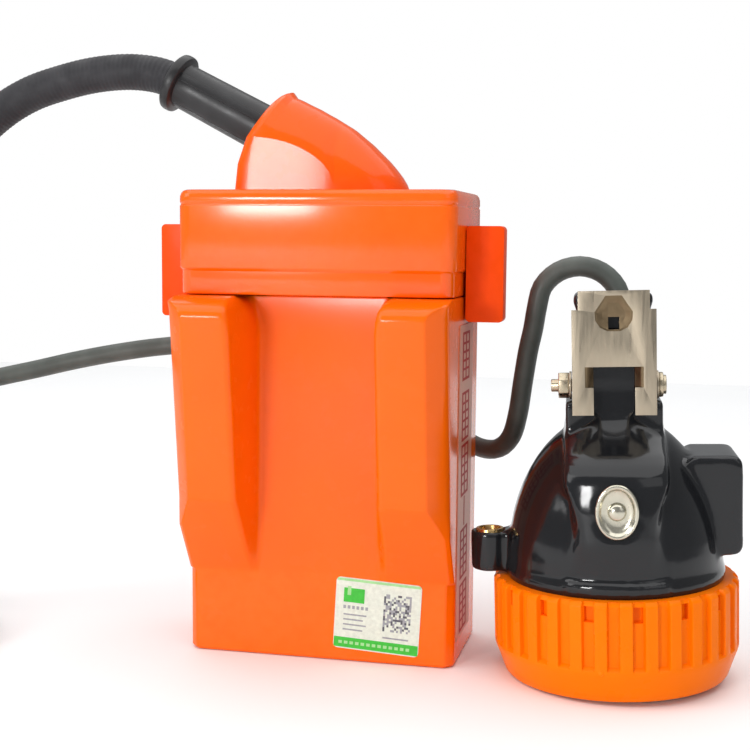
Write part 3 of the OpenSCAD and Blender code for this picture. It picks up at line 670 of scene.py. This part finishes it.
# The hood: its spine, its half width, where its tail starts to narrow, its flat sides (their height at the
# mouth, the length over which that runs out and where it ends), and the corner of its lip
SPINE_X = (-17.6, -10, -3, 2.5, 8.4, 14, 19.7, 23, 25.2, 25.8)
SPINE_Z = (188.0, 185.4, 182.2, 179.2, 175.5, 170.6, 164.6, 160.4, 156.9, 155.4)
NECK_X = (SPINE_X[0], SPINE_X[-1])
NECK_SIDE = 15.0
TAIL_START = 4.9
FLAT_HEIGHT, FLAT_RUN, FLAT_END = 17.5, 24.0, 6.4
LIP_X, LIP_Z = -29.2, 168.0


def neck_spine(x):
    """Height of the hood's spine over the cover."""
    return float(np.interp(x, SPINE_X, SPINE_Z))


def neck_mouth(z):
    """The x of the hood's mouth at a height: the slanting lip, then the short upright below it."""
    return LIP_X + (z - LIP_Z) * 0.58 if z > LIP_Z else LIP_X - (LIP_Z - z) * 0.11


def neck_ring(share, shrink=0.0, shift=0.0):
    """One arched section of the hood, from its mouth (0) to its tail (1): flat sides, then a rounded top."""
    x = NECK_X[0] + (NECK_X[1] - NECK_X[0]) * share
    tail = max(0.0, (x - TAIL_START) / (NECK_X[1] - TAIL_START))
    side = NECK_SIDE * math.sqrt(max(0.004, 1 - tail**2)) - shrink
    flat = FLAT_HEIGHT * math.sqrt(max(0.0, 1 - ((x - NECK_X[0]) / FLAT_RUN) ** 2)) if x < FLAT_END else 0.0
    top = neck_spine(x) - shrink
    base = COVER_TOP
    flat = min(flat, top - base - 0.2)
    walls = [(side, base), (side, base + flat * 0.5), (side, base + flat)]
    lean = math.radians(24 * min(1, flat / 6))
    arc = [(side * math.cos(a) / math.cos(lean),
            base + flat + (top - base - flat) * (math.sin(a) - math.sin(lean)) / (1 - math.sin(lean)))
           for a in np.linspace(lean, math.pi - lean, 25)[1:-1]]
    section = walls + arc + [(-y, z) for y, z in reversed(walls)]
    slant = (1 - share) ** 2
    return [(x + (neck_mouth(z) - NECK_X[0]) * slant + shift, y + COVER_Y, z) for y, z in section]


def make_neck():
    """The hood: a rolled lip round its mouth, then thirty sections to its tail."""
    lip = [(4.6, -0.2), (3.0, -0.15), (1.6, 0.3), (0.7, 1.1), (0.2, 2.1), (0.0, 3.4)]
    rings = [neck_ring(0, shrink, shift) for shrink, shift in lip]
    first = lip[-1][1] / (NECK_X[1] - NECK_X[0])
    rings += [neck_ring(s) for s in np.linspace(first + 0.05, 1, 30)]
    return loft(rings)


dress(solid("neck_hood", make_neck()), finishes["orange_neck_plastic"], ROOT, ["cable_neck"],
      13)

MOUTH = (-25.9, COVER_Y, 176.8)
MOUTH_RISE = 27.4
MOUTH_FRAME = (Matrix.Translation(Vector(MOUTH) * MM)
               @ Matrix.Rotation(math.radians(MOUTH_RISE - 90), 4, "Y"))
BOOT_BANDS, BAND_TURN = 4, 22
BAND_HEIGHT, BAND_HALF, BAND_EDGE = 0.36, 11, 1.2
BOOT_BARREL, BOOT_COLLAR_Z = 7, 30.2


def boot_radius(r, z, a):
    """Four raised bands along the boot, each with a crisp edge at both sides."""
    if r < BOOT_BARREL or z > BOOT_COLLAR_Z:
        return r
    share = 360 / BOOT_BANDS
    from_band = abs((math.degrees(a) + BAND_TURN) % share - share / 2)
    return r + BAND_HEIGHT * min(1.0, max(0.0, (BAND_HALF - from_band) / BAND_EDGE))


# From its plug in the hood along the barrel, out round the collar, and down the socket that takes the sleeve
boot_profile = [(3.5, -8), (7.2, -8), (7.4, -7.5), (7.75, 0), (7.65, 8), (7.55, 16), (7.45, 24), (7.4, 30),
                (7.7, 30.6), (9.3, 30.9), (9.8, 31.3), (10, 32), (10, 33.4), (9.8, 34.1), (9.3, 34.5),
                (6.35, 34.5), (6.3, 34.2), (6.3, 26.1), (3.5, 24.6)]
boot = solid("ridged_boot", lathe(boot_profile, 180, True, boot_radius), MOUTH_FRAME)
dress(boot, finishes["black_rubber"], ROOT, ["neck_boot"], 30)

for node in ("belt_loop_left", "belt_loop_right"):
    dress(eased(node + "_moulding", node, 0.7, 3), finishes["orange_loop_plastic"], ROOT, [node])
for node, slot, width in (("cover_screws", "steel", 0.25), ("belt_loop_screws", "steel", 0.2)):
    dress(eased(node + "_heads", node, width), finishes[slot], ROOT, [node])

# ---- Labels ----

# The print stands this far over its label, and each ink a step higher, so that no two faces meet. It starts
# just inside the label.
PRINT_FACE, PRINT_STEP, PRINT_FOOT = 0.04, 0.012, -0.05
CODE_CELL, CODE_STRETCH = 0.66, 1.12
CODE_COLUMNS, CODE_ROWS, CODE_FILL = 14, 17, 0.52
CODE_CORNER = (2.0, -4.6)
SIDE_MIDDLE = 60.0
PANEL_Z = ((93.6, 109.6), (73.6, 89.8), (55.2, 72.4), (27.4, 44.0), (9.4, 25.6))
PANEL_LINE, PANEL_ROWS = 0.9, 5
PANEL_LEFT, PANEL_RIGHT = -7.6, 6.4


def marks(name, blocks, place):
    """Flat printed blocks, (left, bottom, right, top, ink) in mm on the label's face, as one thin piece."""
    skins, which = [], []
    names = sorted({block[4] for block in blocks})
    for left, bottom, right, top, ink in blocks:
        face = PRINT_FACE + PRINT_STEP * names.index(ink)
        rings = [[(x, y, z) for x, y in ((left, bottom), (right, bottom), (right, top), (left, top))]
                 for z in (PRINT_FOOT, face)]
        skins.append(loft(rings))
        which += [names.index(ink)] * 6
    thing = solid(name, join_skins(skins), place)
    for ink in names:
        thing.data.materials.append(inks[ink])
    for face, index in zip(thing.data.polygons, which):
        face.material_index = index
    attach(thing, ROOT)
    return thing


def front_blocks():
    """Plain blocks that spell nothing: two bands, a sign, lines, and a field of cells placed at random."""
    blocks = [(-14, 10.9, 14, 11.7, "pale_green"), (-14.2, -11.6, 14.2, -8.2, "green")]
    blocks += [(-11.6, 3.8, -4.6, 8.6, "green"), (-10.4, 6.2, -9.2, 9.2, "pale_green")]
    blocks += [(-11.6 + 1.5 * i, 1.6, -10.7 + 1.5 * i, 2.7, "grey") for i in range(6)]
    blocks += [(-11.4, -0.6 - 1.7 * i, -3.6 - 1.1 * (i % 2), -0.1 - 1.7 * i, "grey") for i in range(4)]
    blocks += [(2.2, -7.0, 10.8, -6.5, "grey")]
    for i in range(CODE_COLUMNS):
        for j in range(CODE_ROWS):
            if random.random() < CODE_FILL:
                x, y = CODE_CORNER[0] + i * CODE_CELL, CODE_CORNER[1] + j * CODE_CELL * CODE_STRETCH
                ink = random.choice(("dark", "grey", "grey"))
                blocks.append((x, y, x + CODE_CELL, y + CODE_CELL * CODE_STRETCH, ink))
    blocks += [(-12.6 + 1.9 * i, -10.4, -11.4 + 1.9 * i, -9.4, "pale_green") for i in range(13)]
    return blocks


def side_blocks():
    """Five tall framed panels, each with ruled rows round a middle bar, and one bar between two of them."""
    blocks = [(-1.4, 44.8 - SIDE_MIDDLE, 0.2, 54.6 - SIDE_MIDDLE, "red")]
    for low, high in PANEL_Z:
        low, high = low - SIDE_MIDDLE, high - SIDE_MIDDLE
        blocks += [(PANEL_LEFT, low, PANEL_RIGHT, low + PANEL_LINE, "red"),
                   (PANEL_LEFT, high - PANEL_LINE, PANEL_RIGHT, high, "red")]
        blocks += [(x, low + PANEL_LINE, x + width, high - PANEL_LINE, "red")
                   for x, width in ((PANEL_LEFT, 2.0), (-1.5, 1.8), (4.6, 1.8))]
        row = (high - low - 2 * PANEL_LINE) / PANEL_ROWS
        for k in range(1, PANEL_ROWS):
            z = low + PANEL_LINE + row * k
            blocks += [(-5.6, z - 0.4, -1.5, z + 0.4, "red"), (0.3, z - 0.4, 4.6, z + 0.4, "red")]
    return blocks


low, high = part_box("front_label")
front_face = (Matrix.Translation(((low.x + high.x) / 2, low.y, (low.z + high.z) / 2))
              @ Matrix.Rotation(math.radians(90), 4, "X") @ Matrix.Rotation(math.radians(-3), 4, "Z"))
marks("front_print", front_blocks(), front_face)
low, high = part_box("side_label")
side_face = (Matrix.Translation((high.x, (low.y + high.y) / 2, (low.z + high.z) / 2))
             @ Matrix.Rotation(math.radians(90), 4, "Z") @ Matrix.Rotation(math.radians(90), 4, "X"))
marks("side_print", side_blocks(), side_face)

# ---- Lamp head ----

# The dome is a quarter ellipse turned round the axis: its radius and height, and where it starts
DOME_R, DOME_H, DOME_BASE = 34.2, 48.0, 36.0
# The front rib: half its width inside and over its edges, where it is whole, and where it leaves the dome
RIB_INNER, RIB_HALF, RIB_WHOLE, RIB_STARTS = 15.7, 15.8, 68, (34, 49)


def smooth_step(value, low, high):
    """0 below low, 1 above high, with a smooth change between them."""
    share = min(1.0, max(0.0, (value - low) / (high - low)))
    return share * share * (3 - 2 * share)


def fade_rib(thing):
    """Lets the front rib run out into the dome: its foot sinks in and its lower edges turn soft."""
    to_head = HEAD.inverted()
    for point in thing.data.vertices:
        x, y, z = (to_head @ point.co) / MM
        if y > 0 or abs(x) > RIB_HALF + 0.2 or not DOME_BASE < z < RIB_WHOLE:
            continue
        dome = DOME_R * math.sqrt(1 - ((z - DOME_BASE) / DOME_H) ** 2)
        r = math.hypot(x, y)
        if r <= dome:
            continue
        inner = RIB_INNER - 6.0 * (1 - smooth_step(z, 50, RIB_WHOLE))
        edge = 1 - smooth_step(abs(x), inner, RIB_HALF) * (1 - smooth_step(z, 58, RIB_WHOLE))
        r_new = dome + (r - dome) * smooth_step(z, *RIB_STARTS) * edge
        point.co = HEAD @ (Vector((x * r_new / r, y * r_new / r, z)) * MM)
    return thing


# The shell is remade in voxels, its rib faded, and remade again. A block backs the thin wall by the bolt.
FRONT_OF_BOLT = ((-10.8, -12.6, 90.0), (10.8, -8.0, 97.5))
SHELL_VOXEL = 0.68
shell = fade_rib(softened("shell_moulding", "lamp_shell", SHELL_VOXEL, 8, HEAD, FRONT_OF_BOLT))
dress(remade(shell, SHELL_VOXEL, 8), finishes["black_plastic"], ROOT, ["lamp_shell"], 55)

BEZEL_R, BEZEL_H, GROOVES = 39, 31.5, 32
BORE_R, OPENING_R = 34.08, 30.5
BEZEL_TURN = -92.1
GROOVE_DEPTH, NOTCH_DEPTH = 1.5, 1.7
# One groove in section: (degrees from its middle, share of its depth, share of the notch's depth)
GROOVE_STEPS = [(-3.2, 0, 0), (-2.9, 0.08, 0), (-2.45, 0.92, 0), (-2.3, 1, 0), (-2.2, 1, 1), (0, 1, 1),
                (2.2, 1, 1), (2.3, 1, 0), (2.45, 0.92, 0), (2.9, 0.08, 0), (3.2, 0, 0), (5.6, 0, 0)]


def bezel_profile():
    """The ring in section, up its outside and back down its bore.

    Each point is (r, z, share of the groove's depth, share of the notch's depth)."""
    r, h = BEZEL_R, BEZEL_H
    foot = [(OPENING_R, 1.0, 0, 0), (30.8, 0.35, 0, 0), (31.5, 0, 0, 0), (34.3, 0, 0, 0), (35.2, 0.3, 0, 0),
            (35.9, 1.1, 0, 0), (36.9, 4.0, 0, 0), (37.9, 6.8, 0, 0), (38.6, 8.6, 0, 0), (38.95, 9.7, 0, 0),
            (r, 10.4, 0, 0), (r, 10.8, 0.3, 0), (r, 11.5, 1, 0)]
    grooved = [(r, z, 1, 0) for z in (14, 17, 20, 23, 25.1)]
    notched = [(r, z, 1, 1) for z in (25.2, 27.5, 29.9)]
    top = [(r, 30.0, 1, 0), (38.85, 30.4, 1, 0), (38.4, 31.0, 0.9, 0), (37.8, 31.4, 0.5, 0), (37.2, h, 0, 0)]
    bore = [(34.4, h, 0, 0), (34.1, 31.2, 0, 0), (BORE_R, 16, 0, 0), (BORE_R, 3, 0, 0), (OPENING_R, 3, 0, 0)]
    return foot + grooved + notched + top + bore


def make_bezel():
    """The bezel ring with its grooves, a notch in every other one, and the stub of its moulding gate."""
    rings = []
    for r, z, groove, notch in bezel_profile():
        ring = []
        for i in range(GROOVES):
            for degrees, in_groove, in_notch in GROOVE_STEPS:
                a = math.radians(i * 360 / GROOVES + BEZEL_TURN + degrees)
                here = r - GROOVE_DEPTH * groove * in_groove - NOTCH_DEPTH * notch * in_notch * (i % 2)
                ring.append((here * math.cos(a), here * math.sin(a), z))
        rings.append(ring)
    gate = [(0.01, -0.3), (1.0, -0.3), (0.9, 0.2), (0.5, 0.42), (0.01, 0.5)]
    points, faces = lathe(gate, 16)
    place = (Matrix.Rotation(math.radians(BEZEL_TURN - 5.6 + 90), 4, "Z")
             @ Matrix.Translation((0, -38.8, 10.2)) @ Matrix.Rotation(math.radians(80), 4, "X"))
    return join_skins([loft(rings, True), ([tuple(place @ Vector(p)) for p in points], faces)])


dress(solid("bezel_moulding", make_bezel(), HEAD), finishes["orange_bezel_plastic"], "bezel", ["bezel_ring"],
      24)

hook = dress(eased("hook_pressing", "cap_hook", 0.25, 3), finishes["steel"], "hook", ["cap_hook"])
HOOK_FRONT = -17.2
RECESS_X, RECESS_Z = 6.4, (110.4, 122.2)
TABS_X, TABS_Z = 9.2, (93, 100)


def paint_recess_shade():
    """The pressed recess and the bent-in tabs get a darker, browner steel: painted shade for the shadow that falls
    in them.
    """
    # painted shade: a dark brown steel for the faces in the recess and on the tabs, where shadow falls
    hook.data.materials.append(metal("painted_shade_steel", (0.20, 0.145, 0.085), 0.4, None, 0.3))
    to_head = HEAD.inverted()
    for face in hook.data.polygons:
        x, y, z = (to_head @ face.center) / MM
        in_recess = abs(x) < RECESS_X and RECESS_Z[0] < z < RECESS_Z[1]
        in_tab = abs(x) < TABS_X and TABS_Z[0] < z < TABS_Z[1]
        if y > HOOK_FRONT + 0.3 and (in_recess or in_tab):
            face.material_index = 1


paint_recess_shade()
for node, slot, width in (("hook_bolt", "plated_steel", 0.3), ("hook_nut", "plated_steel", 0.35),
                          ("hook_washers", "steel", 0.12), ("charge_bush", "brass", 0.25),
                          ("gland_nut", "black_plastic", 0.5), ("head_strain_relief", "black_rubber", 0.5)):
    dress(eased(node + "_finished", node, width), finishes[slot], ROOT, [node])
dress(eased("button_cap", "switch_button", 0.5, 3), finishes["button_red"], "button", ["switch_button"])

CONTACT_Z = 58.2


def oval(width, height, y, sides=72):
    """An oval outline round the contact's middle, at one depth."""
    return [(width * math.cos(a), y, CONTACT_Z + height * math.sin(a))
            for a in np.linspace(0, math.tau, sides + 1)[:-1]]


def make_contact_ring():
    """An oval dish: a rounded rim, then a wall that slopes in to the stud's seat, with its flange behind."""
    section = [(5.6, 7.4, -33.8), (6.35, 8.2, -34.2), (6.5, 8.4, -35.2), (6.3, 8.2, -35.75),
               (5.85, 7.75, -35.95), (5.35, 7.2, -35.75), (5.0, 6.7, -35.1), (4.3, 5.7, -34.7),
               (3.4, 4.4, -34.5), (2.2, 2.2, -34.5), (2.1, 2.1, -33.8)]
    return loft([oval(*step) for step in section], True)


def make_stud():
    """The domed stud in the dish, with its flange and shank."""
    profile = [(0.05, 2.3), (1.0, 2.22), (1.9, 1.95), (2.55, 1.4), (2.8, 0.7), (2.8, 0.25), (3.3, 0.05),
               (3.3, -0.5), (2.0, -0.5), (2.0, -10.5), (0.05, -10.5)]
    points, faces = lathe(profile, 48)
    place = Matrix.Translation((0, -34.2, CONTACT_Z)) @ Matrix.Rotation(math.radians(90), 4, "X")
    return [tuple(place @ Vector(p)) for p in points], faces


for name, skin, node in (("contact_dish", make_contact_ring(), "contact_ring"),
                         ("contact_dome", make_stud(), "contact_stud")):
    dress(solid(name, skin, HEAD), finishes["polished_steel"], ROOT, [node], 50)

# ---- Studio ----

MIDDLE = (0, 0, 0.09)
# Each softbox: name, place and aim in metres, size, power
LIGHTS = (("window", (-0.40, -1.05, 0.235), MIDDLE, (0.22, 0.2), 4.5),
          ("key", (-1.0, -0.6, 0.75), MIDDLE, (0.6, 0.6), 3),
          ("fill", (0.95, -0.85, 0.65), MIDDLE, (0.6, 0.6), 0.8),
          ("top", (0, 0.1, 1.7), (0, 0.1, 0), (3.0, 3.0), 44))
FLOOR_REACH, FLOOR_DEPTH = 900, 20


def area_light(name, place, aim, size, power):
    """A rectangular softbox that faces its aim."""
    lamp = bpy.data.lights.new(name, "AREA")
    lamp.shape = "RECTANGLE"
    lamp.size, lamp.size_y = size
    lamp.energy = power
    turn = (Vector(aim) - Vector(place)).to_track_quat("-Z", "Y").to_matrix().to_4x4()
    link(name, lamp).matrix_world = Matrix.Translation(place) @ turn


def make_floor():
    """A matt, almost white slab with its top at z = 0."""
    material, tree, surface = shader("floor")
    tone = remap(tree, noise(tree, 3, 2), 0.0, 1.0)
    tree.links.new(blend(tree, tone, (0.92, 0.92, 0.92), (0.96, 0.96, 0.96)), surface.inputs["Base Color"])
    surface.inputs["Roughness"].default_value = 0.7
    r = FLOOR_REACH
    corners = ((-r, -r), (r, -r), (r, r), (-r, r))
    floor = solid("floor", loft([[(x, y, z) for x, y in corners] for z in (-FLOOR_DEPTH, 0)]))
    floor.data.materials.append(material)


def make_world():
    """A pale room that lights the lamp, with a pure white backdrop where the camera looks past it."""
    world = bpy.data.worlds.new("studio")
    bpy.context.scene.world = world
    world.use_nodes = True
    tree = world.node_tree
    room = tree.nodes["Background"]
    room.inputs["Color"].default_value = (0.96, 0.98, 1.0, 1)
    room.inputs["Strength"].default_value = 0.36
    backdrop = tree.nodes.new("ShaderNodeBackground")
    backdrop.inputs["Color"].default_value = (1, 1, 1, 1)
    backdrop.inputs["Strength"].default_value = 1.0
    seen = tree.nodes.new("ShaderNodeLightPath")
    mix = tree.nodes.new("ShaderNodeMixShader")
    tree.links.new(seen.outputs["Is Camera Ray"], mix.inputs["Fac"])
    tree.links.new(room.outputs[0], mix.inputs[1])
    tree.links.new(backdrop.outputs[0], mix.inputs[2])
    tree.links.new(mix.outputs[0], tree.nodes["World Output"].inputs["Surface"])


make_floor()
make_world()
for light in LIGHTS:
    area_light(*light)
bpy.context.scene.view_settings.view_transform = "Standard"
